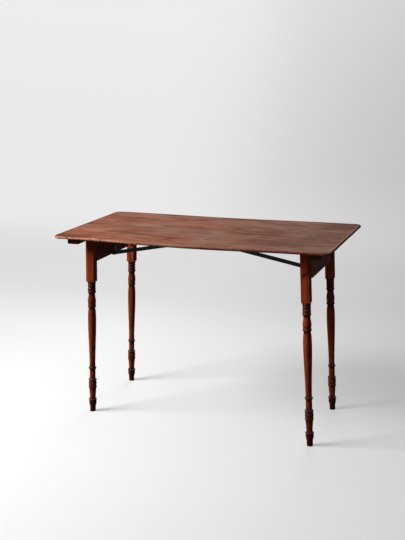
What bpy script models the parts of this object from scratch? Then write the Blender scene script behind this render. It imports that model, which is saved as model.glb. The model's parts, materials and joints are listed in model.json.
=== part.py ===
"""Folding sewing table: a thin top on two turned leg frames that fold flat under it.

Each frame hangs from two butt hinges against a batten. An iron brace that pivots in a notch under
its apron holds it open, with its tip in a catch under the middle of the top. The left frame stands
a little to the back and the right frame a little to the front, so that their legs lie side by
side when both are folded, with one foot of each in a notch of the other's apron.
Units are metres, +X runs along the top, +Z is up and the floor is z = 0.
"""

import math

import bmesh
import bpy
from mathutils import Matrix, Vector

# Top
TOP_LENGTH = 0.9144
TOP_DEPTH = 0.4826
TOP_THICKNESS = 0.009
TABLE_HEIGHT = 0.635
CORNER_RADIUS = 0.022
TOP_EDGE_RADIUS = 0.0035

# Battens under the ends of the top
BATTEN_WIDTH = 0.040
BATTEN_DEPTH = 0.0225
BATTEN_EDGE_RADIUS = 0.003
BATTEN_END_SETBACK = 0.037
BATTEN_SCREW_MARGIN = 0.0318
BATTEN_SCREWS = 4

# Leg frames
LEG_SQUARE = 0.028
LEG_ARRIS = 0.0008
FRAME_MARGIN = 0.0826
LEG_SPLAY = math.radians(2.1)
LEG_PROUD = 0.002
SQUARE_LENGTH = 0.1589
FRAME_OFFSET = 0.0183
HINGE_INSET = 0.101
HINGE_DROP = 0.003
APRON_HEIGHT = 0.095
APRON_THICKNESS = 0.019
APRON_EDGE_RADIUS = 0.002
TENON_THICKNESS = 0.008
TENON_LENGTH = 0.012
TENON_SHOULDER = 0.012
FOOT_PLAY = 0.002

# Turned part of a leg, from the floor up; the long taper takes the height that is left
TURNING_ALLOWANCE = 0.0002
TOE_HEIGHT = 0.0158
TOE_RADIUS = 0.0098
FLARE_HEIGHT = 0.0158
ANKLE_HEIGHT = 0.009
ANKLE_RADIUS = 0.01265
FOOT_RING_HEIGHT = 0.0065
NECK_HEIGHT = 0.0376
NECK_TOP_RADIUS = 0.0117
LOWER_RING_HEIGHT = 0.0108
BULB_HEIGHT = 0.0158
UPPER_RING_HEIGHT = 0.0092
COLUMN_HEIGHT = 0.0336
COLUMN_RADIUS = 0.0104
COLUMN_RING_HEIGHT = 0.009
COLUMN_RING_RADIUS = 0.0129
TAPER_FALL_HEIGHT = 0.0396
PINCH_HEIGHT = 0.003
PINCH_RADIUS = 0.0112
VASE_RING_HEIGHT = 0.0122
VASE_RISE_HEIGHT = 0.0098
VASE_FALL_HEIGHT = 0.0257
THROAT_RING_HEIGHT = 0.0107
THROAT_RING_RADIUS = 0.0133
COLLAR_HEIGHT = 0.0088
SHOULDER_HEIGHT = 0.0016
GROOVE_RADIUS = 0.0122
WAIST_RADIUS = 0.0098

# Butt hinges
HINGE_LENGTH = 0.050
HINGE_MARGIN = 0.0687
LEAF_WIDTH = 0.020
LEAF_THICKNESS = 0.0016
BARREL_RADIUS = 0.0026
HINGE_PIN_RADIUS = 0.0012
LEAF_HOLE_RADIUS = 0.0018
LEAF_HOLE_SPACING = 0.016
LEAF_HOLE_INSET = 0.0125
LEAF_HOLES = 3

# Iron braces
BRACE_RISE = math.radians(10.8)
BRACE_WIDTH = 0.013
BRACE_THICKNESS = 0.003
BRACE_EYE_RADIUS = 0.0045
BRACE_TAPER = 0.030
BRACE_TIP_GAP = 0.0047
PIVOT_DROP = 0.0005
BRACE_HEADROOM = 0.007
PIVOT_SETBACK = 0.006
RIVET_RADIUS = 0.002
RIVET_HEAD_RADIUS = 0.004
RIVET_HEAD_HEIGHT = 0.0015

# Brackets that carry the braces under the aprons
BRACKET_WIDTH = 0.016
BRACKET_THICKNESS = 0.002
BRACKET_RISE = 0.0285
BRACKET_EAR_RADIUS = 0.006
BRACKET_SCREW_RISE = 0.0225
BRACKET_SCREW_SPACING = 0.009

# Catches that hold the tips of the braces under the top
CATCH_LENGTH = 0.042
CATCH_WIDTH = 0.024
CATCH_THICKNESS = 0.0016
CATCH_DEPTH = 0.017
CHEEK_LENGTH = 0.024
END_PLAY = 0.005
END_THICKNESS = 0.002
END_LAP = 0.0025
CATCH_SCREW_SPACING = 0.017

# Wood screws
BATTEN_SCREW_RADIUS = 0.002
BATTEN_SCREW_HEAD_RADIUS = 0.004
BATTEN_SCREW_BITE = 0.006
SMALL_SCREW_RADIUS = 0.0015
SMALL_SCREW_HEAD_RADIUS = 0.003
SMALL_SCREW_LENGTH = 0.008

# Clearances and fineness
CLEARANCE = 0.0003
CUT_MARGIN = 0.002
WELD_DISTANCE = 0.000001
TURNING_STEPS = 16
ROUND_STEPS = 12
SMALL_STEPS = 10

# Places that follow from the sizes above. A frame is made upright about its hinge axis:
# its own +X points in under the top and its -Z points down the legs.
UNDERSIDE = TABLE_HEIGHT - TOP_THICKNESS
BATTEN_HALF_LENGTH = TOP_DEPTH / 2 - BATTEN_END_SETBACK
BATTEN_SCREW_SPACING = 2 * (BATTEN_HALF_LENGTH - BATTEN_SCREW_MARGIN) / (BATTEN_SCREWS - 1)
LEG_SPACING = TOP_DEPTH - 2 * FRAME_MARGIN
HINGE_SPACING = LEG_SPACING - 2 * HINGE_MARGIN
HINGE_X = TOP_LENGTH / 2 - HINGE_INSET
HINGE_Z = UNDERSIDE - HINGE_DROP
HALF_SQUARE = LEG_SQUARE / 2
FULL_RADIUS = HALF_SQUARE - TURNING_ALLOWANCE
LEG_AXIS = LEG_PROUD - HALF_SQUARE
LEG_BACK = LEG_SQUARE - LEG_PROUD
FRAME_TOP = HINGE_DROP - LEG_BACK * math.tan(LEG_SPLAY) - CLEARANCE
FOOT_Z = -(HINGE_Z + (TOE_RADIUS - LEG_AXIS) * math.sin(LEG_SPLAY)) / math.cos(LEG_SPLAY)
SHOULDER_Z = FRAME_TOP - SQUARE_LENGTH
APRON_FACE = -HINGE_DROP
APRON_MIDDLE = APRON_FACE - APRON_THICKNESS / 2
APRON_BOTTOM = FRAME_TOP - APRON_HEIGHT
APRON_HALF_LENGTH = LEG_SPACING / 2 - HALF_SQUARE - CLEARANCE
STOP_REACH = LEG_BACK / math.cos(LEG_SPLAY)
STOP_REACH += (BATTEN_DEPTH + CLEARANCE - HINGE_DROP) * math.tan(LEG_SPLAY)
BATTEN_INNER = HINGE_X + STOP_REACH + CLEARANCE

# Brace pivot on the frame and in the open table, and the brace's length up to its catch
PIVOT = Vector((APRON_FACE - PIVOT_SETBACK, 0, APRON_BOTTOM - PIVOT_DROP))
HINGE_POINT = Vector((-HINGE_X, 0, HINGE_Z))
OPEN_PIVOT = HINGE_POINT + Matrix.Rotation(LEG_SPLAY, 3, "Y") @ PIVOT
TIP_TOP = UNDERSIDE - BRACE_TIP_GAP
BRACE_CLIMB = TIP_TOP - OPEN_PIVOT.z - BRACE_WIDTH / 2 * math.cos(BRACE_RISE)
BRACE_LENGTH = BRACE_CLIMB / math.sin(BRACE_RISE)
TIP_X = OPEN_PIVOT.x + BRACE_LENGTH * math.cos(BRACE_RISE) - BRACE_WIDTH / 2 * math.sin(BRACE_RISE)
SLOT_HALF = BRACE_THICKNESS / 2 + CLEARANCE
EARS_WIDTH = 2 * (SLOT_HALF + BRACKET_THICKNESS)

# Notches in an apron's lower edge: one for the brace's pivot and one for the other frame's foot
NOTCH_HEIGHT = BRACE_HEADROOM - PIVOT_DROP
NOTCH_DEPTH = PIVOT_SETBACK + BRACE_WIDTH / 2 + 2 * CLEARANCE
NOTCH_HALF = EARS_WIDTH / 2 + RIVET_HEAD_HEIGHT + 2 * CLEARANCE
FOOT_NOTCH_START = LEG_SPACING / 2 - 2 * FRAME_OFFSET - TOE_RADIUS - FOOT_PLAY

# Finishes: name, colour, roughness and metallic value
FADED_TOP = ("faded_top", (0.27, 0.12, 0.08), 0.55, 0.0)
RED_STAIN = ("red_stained_wood", (0.16, 0.03, 0.012), 0.4, 0.0)
DARK_STAIN = ("dark_stained_wood", (0.09, 0.024, 0.012), 0.5, 0.0)
BLACK_IRON = ("black_iron", (0.012, 0.012, 0.013), 0.5, 0.9)
WORN_STEEL = ("worn_steel", (0.12, 0.11, 0.1), 0.45, 1.0)


def new_collection(name):
    """Makes a collection in the scene."""
    made = bpy.data.collections.new(name)
    bpy.context.scene.collection.children.link(made)
    return made


for leftover in list(bpy.data.objects):
    bpy.data.objects.remove(leftover, do_unlink=True)
PARTS = new_collection("folding_sewing_table")
CUTTERS = new_collection("cutters")


def finish_material(finish):
    """Returns the Principled material of a finish, made on first use."""
    name, colour, roughness, metallic = finish
    if name in bpy.data.materials:
        return bpy.data.materials[name]
    made = bpy.data.materials.new(name)
    made.use_nodes = True
    shader = made.node_tree.nodes["Principled BSDF"]
    shader.inputs["Base Color"].default_value = (*colour, 1)
    shader.inputs["Roughness"].default_value = roughness
    shader.inputs["Metallic"].default_value = metallic
    return made


def place(name, data, parent, location=(0, 0, 0), rotation=(0, 0, 0), group=PARTS):
    """Adds an object under a parent empty; without data it is an empty."""
    thing = bpy.data.objects.new(name, data)
    group.objects.link(thing)
    thing.parent = parent
    thing.location = location
    thing.rotation_euler = rotation
    return thing


def part(name, mesh, finish, parent, location=(0, 0, 0), rotation=(0, 0, 0)):
    """Adds one named piece of the table."""
    mesh.materials.clear()
    mesh.materials.append(finish_material(finish))
    return place(name, mesh, parent, location, rotation)


def cutter(name, mesh, parent, location=(0, 0, 0), rotation=(0, 0, 0)):
    """Adds a cutting shape, which isn't a piece."""
    thing = place(name, mesh, parent, location, rotation, CUTTERS)
    thing.hide_render = True
    thing.display_type = "WIRE"
    return thing


def boolean(thing, operation, other):
    """Adds an exact Boolean modifier."""
    modifier = thing.modifiers.new(f"{operation.lower()}_{other.name}", "BOOLEAN")
    modifier.operation = operation
    modifier.solver = "EXACT"
    modifier.object = other


def evaluated_mesh(thing, name):
    """Returns the welded mesh of an object with its modifiers, and removes the object."""
    bpy.context.view_layer.update()
    depsgraph = bpy.context.evaluated_depsgraph_get()
    made = bpy.data.meshes.new_from_object(thing.evaluated_get(depsgraph))
    made.name = name
    shape = bmesh.new()
    shape.from_mesh(made)
    bmesh.ops.remove_doubles(shape, verts=shape.verts, dist=WELD_DISTANCE)
    bmesh.ops.recalc_face_normals(shape, faces=shape.faces)
    shape.to_mesh(made)
    shape.free()
    bpy.data.objects.remove(thing, do_unlink=True)
    return made


def combined_mesh(name, base, steps):
    """Joins or cuts a base mesh with (operation, mesh) steps and returns the result."""
    body = place(f"{name}_base", base, None, group=CUTTERS)
    tools = []
    for number, (operation, mesh) in enumerate(steps):
        tool = cutter(f"{name}_tool_{number}", mesh, None)
        boolean(body, operation, tool)
        tools.append(tool)
    made = evaluated_mesh(body, name)
    for tool in tools:
        bpy.data.objects.remove(tool, do_unlink=True)
    return made


def box_mesh(name, low, high, edge_radius=0.0, segments=1, lower_only=False):
    """Returns a box between two corners, with all edges or only the lower ones eased."""
    low = Vector(low)
    high = Vector(high)
    shape = bmesh.new()
    bmesh.ops.create_cube(shape, size=1)
    bmesh.ops.scale(shape, vec=high - low, verts=shape.verts)
    bmesh.ops.translate(shape, vec=(low + high) / 2, verts=shape.verts)
    if edge_radius:
        middle = (low.z + high.z) / 2
        edges = [e for e in shape.edges if not lower_only or max(v.co.z for v in e.verts) < middle]
        bmesh.ops.bevel(shape, geom=edges, offset=edge_radius, segments=segments, profile=0.5,
                        affect="EDGES")
    made = bpy.data.meshes.new(name)
    shape.to_mesh(made)
    shape.free()
    return made


def turned_mesh(name, profile, steps=ROUND_STEPS):
    """Turns (radius, height) points, listed from top to bottom, about Z."""
    outline = bpy.data.meshes.new(f"{name}_profile")
    points = [(radius, 0, height) for radius, height in profile]
    outline.from_pydata(points, [(i, i + 1) for i in range(len(points) - 1)], [])
    turned = place(f"{name}_turned", outline, None, group=CUTTERS)
    screw = turned.modifiers.new("turn", "SCREW")
    screw.axis = "Z"
    screw.steps = steps
    screw.render_steps = steps
    screw.use_merge_vertices = True
    screw.merge_threshold = WELD_DISTANCE
    return evaluated_mesh(turned, name)


def rod_mesh(name, radius, length, middle=0.0, steps=ROUND_STEPS):
    """Returns a plain rod along Y about its middle."""
    ends = [(0, length / 2), (radius, length / 2), (radius, -length / 2), (0, -length / 2)]
    made = turned_mesh(name, ends, steps)
    made.transform(Matrix.Translation((0, middle, 0)) @ Matrix.Rotation(math.pi / 2, 4, "X"))
    return made


def arc(radius, start, stop, count):
    """Returns points on an arc about the origin, with its angles in degrees."""
    angles = [math.radians(start + (stop - start) * i / count) for i in range(count + 1)]
    return [(radius * math.cos(a), radius * math.sin(a)) for a in angles]


def flat_mesh(name, outline, thickness):
    """Returns a flat piece with this outline in the XZ plane and its thickness along Y."""
    curve = bpy.data.curves.new(f"{name}_outline", "CURVE")
    curve.dimensions = "2D"
    curve.fill_mode = "BOTH"
    curve.extrude = thickness / 2
    spline = curve.splines.new("POLY")
    spline.points.add(len(outline) - 1)
    for point, (x, z) in zip(spline.points, outline):
        point.co = (x, z, 0, 1)
    spline.use_cyclic_u = True
    made = evaluated_mesh(place(f"{name}_flat", curve, None, group=CUTTERS), name)
    made.transform(Matrix.Rotation(math.pi / 2, 4, "X"))
    return made


def straight(t):
    """A blend at a constant rate."""
    return t


def ease(t):
    """A blend that starts and ends gently."""
    return (1 - math.cos(math.pi * t)) / 2


def early(t):
    """A blend along a quarter ellipse that ends gently."""
    return math.sqrt(1 - (1 - t) ** 2)


def late(t):
    """A blend along a quarter ellipse that starts gently."""
    return 1 - math.sqrt(1 - t * t)


def stretch(points, height, radius, blend, count):
    """Continues a turned outline upwards to a new radius along a blend."""
    start_radius, start = points[-1]
    for i in range(1, count + 1):
        t = i / count
        points.append((start_radius + (radius - start_radius) * blend(t), start + height * t))


def bead(points, height, peak, radius, count=3):
    """Continues a turned outline upwards over a half-round bead to the groove above it."""
    start_radius, start = points[-1]
    for i in range(1, count + 1):
        angle = math.pi * i / count
        t = (1 - math.cos(angle)) / 2
        base = start_radius + (radius - start_radius) * t
        points.append((base + (peak - base) * math.sin(angle), start + height * t))


def leg_profile():
    """Returns a leg's turned outline from top to bottom, wider than the stock where that stays square."""
    foot = TOE_HEIGHT + FLARE_HEIGHT + ANKLE_HEIGHT + FOOT_RING_HEIGHT + NECK_HEIGHT
    knob = LOWER_RING_HEIGHT + BULB_HEIGHT + UPPER_RING_HEIGHT + COLUMN_HEIGHT + COLUMN_RING_HEIGHT
    vase = 2 * PINCH_HEIGHT + VASE_RING_HEIGHT + VASE_RISE_HEIGHT + VASE_FALL_HEIGHT
    throat = 3 * THROAT_RING_HEIGHT + COLLAR_HEIGHT + SHOULDER_HEIGHT
    taper = SHOULDER_Z - FOOT_Z - foot - knob - vase - throat

    points = [(0, FOOT_Z), (TOE_RADIUS, FOOT_Z)]
    stretch(points, TOE_HEIGHT, TOE_RADIUS, straight, 1)
    stretch(points, FLARE_HEIGHT, ANKLE_RADIUS, ease, 3)
    stretch(points, ANKLE_HEIGHT, ANKLE_RADIUS, straight, 1)
    bead(points, FOOT_RING_HEIGHT, FULL_RADIUS, WAIST_RADIUS)
    stretch(points, NECK_HEIGHT, NECK_TOP_RADIUS, ease, 3)
    bead(points, LOWER_RING_HEIGHT, FULL_RADIUS, GROOVE_RADIUS)
    bead(points, BULB_HEIGHT, FULL_RADIUS, GROOVE_RADIUS, 4)
    bead(points, UPPER_RING_HEIGHT, FULL_RADIUS, COLUMN_RADIUS)
    stretch(points, COLUMN_HEIGHT, WAIST_RADIUS, straight, 1)
    bead(points, COLUMN_RING_HEIGHT, COLUMN_RING_RADIUS, WAIST_RADIUS)
    stretch(points, taper - TAPER_FALL_HEIGHT, FULL_RADIUS, ease, 6)
    stretch(points, TAPER_FALL_HEIGHT, PINCH_RADIUS, late, 3)
    stretch(points, PINCH_HEIGHT, PINCH_RADIUS, straight, 1)
    bead(points, VASE_RING_HEIGHT, FULL_RADIUS, GROOVE_RADIUS, 4)
    stretch(points, VASE_RISE_HEIGHT, FULL_RADIUS, early, 2)
    stretch(points, VASE_FALL_HEIGHT, PINCH_RADIUS, ease, 4)
    stretch(points, PINCH_HEIGHT, PINCH_RADIUS, straight, 1)
    bead(points, THROAT_RING_HEIGHT, FULL_RADIUS, GROOVE_RADIUS)
    bead(points, THROAT_RING_HEIGHT, THROAT_RING_RADIUS, GROOVE_RADIUS)
    bead(points, THROAT_RING_HEIGHT, THROAT_RING_RADIUS, GROOVE_RADIUS)
    bead(points, COLLAR_HEIGHT, FULL_RADIUS, THROAT_RING_RADIUS)
    wide = LEG_SQUARE * math.sqrt(0.5) + CUT_MARGIN
    stretch(points, SHOULDER_HEIGHT, wide, straight, 1)
    points += [(wide, FRAME_TOP + CUT_MARGIN), (0, FRAME_TOP + CUT_MARGIN)]
    return points[::-1]


def leg_mesh():
    """Returns a leg: square stock with its lower part turned."""
    stock = box_mesh("leg_stock", (-HALF_SQUARE, -HALF_SQUARE, FOOT_Z - CUT_MARGIN),
                     (HALF_SQUARE, HALF_SQUARE, FRAME_TOP), LEG_ARRIS)
    turning = turned_mesh("leg_turning", leg_profile(), TURNING_STEPS)
    return combined_mesh("leg", stock, [("INTERSECT", turning)])


def leg(name, mesh, frame, y, towards, floor):
    """Makes one leg with its mortise, which opens towards the frame's middle."""
    made = part(name, mesh, RED_STAIN, frame, (LEG_AXIS, y, 0))
    near, far = sorted((towards * (HALF_SQUARE + CUT_MARGIN), towards * (HALF_SQUARE - TENON_LENGTH)))
    half = TENON_THICKNESS / 2 + CLEARANCE
    middle = APRON_MIDDLE - LEG_AXIS
    mortise = box_mesh("mortise", (middle - half, near, APRON_BOTTOM + TENON_SHOULDER - CLEARANCE),
                       (middle + half, far, FRAME_TOP - TENON_SHOULDER + CLEARANCE))
    boolean(made, "DIFFERENCE", cutter(f"{name}_mortise", mortise, frame, (LEG_AXIS, y, 0)))
    boolean(made, "DIFFERENCE", floor)


def apron(side, frame):
    """Makes one apron with a tenon at each end and the notches in its lower edge."""
    back = APRON_MIDDLE - APRON_THICKNESS / 2
    board = box_mesh("apron_board", (back, -APRON_HALF_LENGTH, APRON_BOTTOM),
                     (APRON_FACE, APRON_HALF_LENGTH, FRAME_TOP), APRON_EDGE_RADIUS, 2, True)
    reach = APRON_HALF_LENGTH + TENON_LENGTH
    half = TENON_THICKNESS / 2
    tenons = box_mesh("tenons", (APRON_MIDDLE - half, -reach, APRON_BOTTOM + TENON_SHOULDER),
                      (APRON_MIDDLE + half, reach, FRAME_TOP - TENON_SHOULDER))
    low = APRON_BOTTOM - CUT_MARGIN
    high = APRON_BOTTOM + NOTCH_HEIGHT
    face = APRON_FACE + CUT_MARGIN
    brace_notch = box_mesh("brace_notch", (APRON_FACE - NOTCH_DEPTH, -NOTCH_HALF, low),
                           (face, NOTCH_HALF, high))
    foot_notch = box_mesh("foot_notch", (back - CUT_MARGIN, FOOT_NOTCH_START, low),
                          (face, APRON_HALF_LENGTH + CUT_MARGIN, high))
    mesh = combined_mesh("apron", board, [
        ("UNION", tenons), ("DIFFERENCE", brace_notch), ("DIFFERENCE", foot_notch)])
    return part(f"{side}_apron", mesh, DARK_STAIN, frame)


def screw_profile(length, radius, head, clearance=0.0, overrun=0.0):
    """Returns a countersunk screw that points up from its flush head, or the hole for it."""
    return [(0, length + clearance), (radius + clearance, length - radius + clearance),
            (radius + clearance, head - radius + clearance), (head + clearance, clearance),
            (head + clearance, -overrun), (0, -overrun)]


def screw_meshes(length, radius, head):
    """Returns a screw and the cutter for its hole."""
    solid = screw_profile(length, radius, head)
    drilled = screw_profile(length, radius, head, CLEARANCE, CUT_MARGIN)
    return (turned_mesh("screw", solid[:4] + solid[5:], SMALL_STEPS),
            turned_mesh("screw_hole", drilled, SMALL_STEPS))


def drive_screw(name, meshes, parent, location, targets, rotation=(0, 0, 0)):
    """Drives a screw into its targets, each with its hole."""
    screw, drilled = meshes
    part(name, screw, WORN_STEEL, parent, location, rotation)
    drill = cutter(f"{name}_hole", drilled, parent, location, rotation)
    for target in targets:
        boolean(target, "DIFFERENCE", drill)


def table_top():
    """Makes the top: a slab with rounded corners and edges."""
    shape = bmesh.new()
    bmesh.ops.create_cube(shape, size=1)
    bmesh.ops.scale(shape, vec=(TOP_LENGTH, TOP_DEPTH, TOP_THICKNESS), verts=shape.verts)
    upright = [e for e in shape.edges if e.verts[0].co.z * e.verts[1].co.z < 0]
    bmesh.ops.bevel(shape, geom=upright, offset=CORNER_RADIUS, segments=6, profile=0.5, affect="EDGES")
    rim = [e for e in shape.edges if e.verts[0].co.z * e.verts[1].co.z > 0]
    bmesh.ops.bevel(shape, geom=rim, offset=TOP_EDGE_RADIUS, segments=3, profile=0.5, affect="EDGES")
    made = bpy.data.meshes.new("table_top")
    shape.to_mesh(made)
    shape.free()
    return part("table_top", made, FADED_TOP, None, (0, 0, TABLE_HEIGHT - TOP_THICKNESS / 2))


def batten(side, half, top, screws):
    """Makes one batten, the stop of its frame, and the screws that hold it under the top."""
    high = UNDERSIDE - CLEARANCE
    low = high - BATTEN_DEPTH
    mesh = box_mesh("batten", (-BATTEN_INNER - BATTEN_WIDTH, -BATTEN_HALF_LENGTH, low),
                    (-BATTEN_INNER, BATTEN_HALF_LENGTH, high), BATTEN_EDGE_RADIUS, 2, True)
    made = part(f"{side}_batten", mesh, DARK_STAIN, half)
    for number in range(BATTEN_SCREWS):
        y = (number - (BATTEN_SCREWS - 1) / 2) * BATTEN_SCREW_SPACING
        spot = (-BATTEN_INNER - BATTEN_WIDTH / 2, y, low)
        drive_screw(f"{side}_batten_screw_{number + 1}", screws, half, spot, (made, top))


def leaf_mesh(name, own, other, knuckle):
    """Returns a hinge leaf along +X from its barrel on Y, with the wood above it.

    own and other hold the middles of this leaf's knuckles and of the other leaf's.
    """
    high = HINGE_DROP - CLEARANCE
    low = high - LEAF_THICKNESS
    plate = box_mesh(f"{name}_plate", (0, -HINGE_LENGTH / 2, low), (LEAF_WIDTH, HINGE_LENGTH / 2, high))
    room = knuckle + 2 * CLEARANCE
    steps = [("DIFFERENCE", rod_mesh("room", high + CLEARANCE, room, middle)) for middle in other]
    steps += [("UNION", rod_mesh("knuckle", BARREL_RADIUS, knuckle, middle)) for middle in own]
    bore = rod_mesh("bore", HINGE_PIN_RADIUS + CLEARANCE, HINGE_LENGTH + CUT_MARGIN)
    steps.append(("DIFFERENCE", bore))
    for number in range(LEAF_HOLES):
        y = (number - (LEAF_HOLES - 1) / 2) * LEAF_HOLE_SPACING
        drilled = rod_mesh("leaf_hole", LEAF_HOLE_RADIUS, HINGE_DROP + LEAF_THICKNESS, 0, SMALL_STEPS)
        drilled.transform(Matrix.Translation((LEAF_HOLE_INSET, y, (low + high) / 2))
                          @ Matrix.Rotation(math.pi / 2, 4, "X"))
        steps.append(("DIFFERENCE", drilled))
    return combined_mesh(name, plate, steps)


def hinge_meshes():
    """Returns the leaf on the top, the leaf on the apron and the pin."""
    knuckle = (HINGE_LENGTH - 2 * CLEARANCE) / 3
    step = knuckle + CLEARANCE
    return (leaf_mesh("top_leaf", (0,), (-step, step), knuckle),
            leaf_mesh("apron_leaf", (-step, step), (0,), knuckle),
            rod_mesh("hinge_pin", HINGE_PIN_RADIUS, HINGE_LENGTH, 0, SMALL_STEPS))


def hinge(name, meshes, axis, frame, y):
    """Places one butt hinge: the pin and one leaf stay on the top, the other leaf turns with the frame."""
    top_leaf, apron_leaf, pin = meshes
    part(f"{name}_top_leaf", top_leaf, BLACK_IRON, axis, (0, y, 0))
    part(f"{name}_pin", pin, WORN_STEEL, axis, (0, y, 0))
    part(f"{name}_apron_leaf", apron_leaf, BLACK_IRON, frame, (0, y, 0), (math.pi, math.pi / 2, 0))


def brace_bracket(side, frame, wood, screws):
    """Makes the bracket on the apron's inner face, its ears in the notch, its screws and its rivet."""
    face = PIVOT_SETBACK + CLEARANCE
    plate = box_mesh("bracket_plate", (face, -BRACKET_WIDTH / 2, -BRACE_EYE_RADIUS),
                     (face + BRACKET_THICKNESS, BRACKET_WIDTH / 2, PIVOT_DROP + BRACKET_RISE))
    middle = face + BRACKET_THICKNESS / 2
    outline = arc(BRACKET_EAR_RADIUS, 90, 270, ROUND_STEPS // 2)
    outline += [(middle, -BRACKET_EAR_RADIUS), (middle, BRACKET_EAR_RADIUS)]
    reach = PIVOT_SETBACK + BRACKET_THICKNESS + CUT_MARGIN
    slot_top = BRACE_WIDTH / 2 + reach * math.tan(BRACE_RISE + LEG_SPLAY) + CLEARANCE
    slot = box_mesh("brace_slot", (-2 * reach, -SLOT_HALF, -2 * reach), (2 * reach, SLOT_HALF, slot_top))
    bore = rod_mesh("rivet_bore", RIVET_RADIUS + CLEARANCE, BRACKET_WIDTH, 0, SMALL_STEPS)
    ears = flat_mesh("bracket_ears", outline, EARS_WIDTH)
    mesh = combined_mesh("brace_bracket", plate, [
        ("UNION", ears), ("DIFFERENCE", slot), ("DIFFERENCE", bore)])
    made = part(f"{side}_brace_bracket", mesh, BLACK_IRON, frame, PIVOT)

    neck = EARS_WIDTH / 2 + CLEARANCE
    crown = neck + RIVET_HEAD_HEIGHT
    profile = [(0, crown), (RIVET_RADIUS, crown), (RIVET_HEAD_RADIUS, (neck + crown) / 2),
               (RIVET_HEAD_RADIUS, neck), (RIVET_RADIUS, neck)]
    profile += [(radius, -height) for radius, height in reversed(profile)]
    rivet = turned_mesh("brace_rivet", profile, SMALL_STEPS)
    rivet.transform(Matrix.Rotation(math.pi / 2, 4, "X"))
    part(f"{side}_brace_rivet", rivet, WORN_STEEL, frame, PIVOT)

    for number, way in enumerate((-1, 1)):
        spot = (APRON_FACE + CLEARANCE + BRACKET_THICKNESS, way * BRACKET_SCREW_SPACING / 2,
                APRON_BOTTOM + BRACKET_SCREW_RISE)
        drive_screw(f"{side}_bracket_screw_{number + 1}", screws, frame, spot, (made, wood),
                    (0, -math.pi / 2, 0))


def brace_bar(side, frame):
    """Makes the flat bar that turns about its rivet, with its tip in the catch."""
    half = BRACE_WIDTH / 2
    fuller = half / BRACE_EYE_RADIUS
    outline = arc(BRACE_EYE_RADIUS, 90, 180, ROUND_STEPS // 4)
    outline += [(x, z * fuller) for x, z in arc(BRACE_EYE_RADIUS, 180, 270, ROUND_STEPS // 4)[1:]]
    outline += [(BRACE_LENGTH, -half), (BRACE_LENGTH, half), (BRACE_TAPER, half)]
    bore = rod_mesh("brace_bore", RIVET_RADIUS + CLEARANCE, BRACE_WIDTH, 0, SMALL_STEPS)
    mesh = combined_mesh("brace_bar", flat_mesh("bar", outline, BRACE_THICKNESS), [("DIFFERENCE", bore)])
    joint = place(f"{side}_brace_joint", None, frame, PIVOT, (0, -BRACE_RISE - LEG_SPLAY, 0))
    part(f"{side}_brace_bar", mesh, BLACK_IRON, joint)


def brace_catch(side, line, top, screws):
    """Makes the catch under the top: two spring cheeks beside the bar's tip and a stop past it."""
    high = UNDERSIDE - CLEARANCE
    base = high - CATCH_THICKNESS
    stop = TIP_X + END_PLAY
    start = stop - CHEEK_LENGTH
    middle = (start + stop + END_THICKNESS) / 2
    plate = box_mesh("catch_plate", (middle - CATCH_LENGTH / 2, -CATCH_WIDTH / 2, base),
                     (middle + CATCH_LENGTH / 2, CATCH_WIDTH / 2, high))
    outer = SLOT_HALF + CATCH_THICKNESS
    block = box_mesh("catch_block", (start, -outer, UNDERSIDE - CATCH_DEPTH),
                     (stop + END_THICKNESS, outer, base + CATCH_THICKNESS / 2))
    below = UNDERSIDE - CATCH_DEPTH - CUT_MARGIN
    slot = box_mesh("catch_slot", (start - CUT_MARGIN, -SLOT_HALF, below),
                    (stop, SLOT_HALF, base - CLEARANCE))
    relief = box_mesh("stop_relief", (stop - CLEARANCE, -outer - CUT_MARGIN, below),
                      (stop + END_THICKNESS + CUT_MARGIN, outer + CUT_MARGIN, TIP_TOP - END_LAP))
    mesh = combined_mesh("brace_catch", plate, [
        ("UNION", block), ("DIFFERENCE", slot), ("DIFFERENCE", relief)])
    made = part(f"{side}_brace_catch", mesh, BLACK_IRON, line)
    for number, way in enumerate((-1, 1)):
        spot = (middle, way * CATCH_SCREW_SPACING / 2, base)
        drive_screw(f"{side}_catch_screw_{number + 1}", screws, line, spot, (made, top))


def build():
    """Builds the table: the right half is the left half turned half way round."""
    top = table_top()
    floor = cutter("floor", box_mesh("floor", (-TOP_LENGTH, -TOP_DEPTH, -TABLE_HEIGHT),
                                     (TOP_LENGTH, TOP_DEPTH, 0)), None)
    batten_screw = screw_meshes(BATTEN_DEPTH + BATTEN_SCREW_BITE, BATTEN_SCREW_RADIUS,
                                BATTEN_SCREW_HEAD_RADIUS)
    small_screw = screw_meshes(SMALL_SCREW_LENGTH, SMALL_SCREW_RADIUS, SMALL_SCREW_HEAD_RADIUS)
    turned_leg = leg_mesh()
    hinges = hinge_meshes()
    for side, angle, ends in (("left", 0, ("front", "back")), ("right", math.pi, ("back", "front"))):
        half = place(f"{side}_half", None, None, (0, 0, 0), (0, 0, angle))
        line = place(f"{side}_brace_line", None, half, (0, FRAME_OFFSET, 0))
        axis = place(f"{side}_hinge_axis", None, line, HINGE_POINT)
        frame = place(f"{side}_frame", None, axis, (0, 0, 0), (0, LEG_SPLAY, 0))
        batten(side, half, top, batten_screw)
        wood = apron(side, frame)
        for end, way in zip(ends, (-1, 1)):
            leg(f"{side}_{end}_leg", turned_leg, frame, way * LEG_SPACING / 2, -way, floor)
            hinge(f"{side}_{end}_hinge", hinges, axis, frame, way * HINGE_SPACING / 2)
        brace_bracket(side, frame, wood, small_screw)
        brace_bar(side, frame)
        brace_catch(side, line, top, small_screw)
    bpy.context.view_layer.update()


build()
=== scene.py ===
"""Folding sewing table: turned legs, a worn top and black ironwork over the plain solids.

Every new piece is a skin over a grid of points, worked out as whole arrays. Lengths are in metres,
+X runs along the top, +Z is up and the floor is z = 0. A leg frame is worked out upright about its
hinge line, u in under the top and z up, and then hung at its splay.
"""

import json
import math

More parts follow.
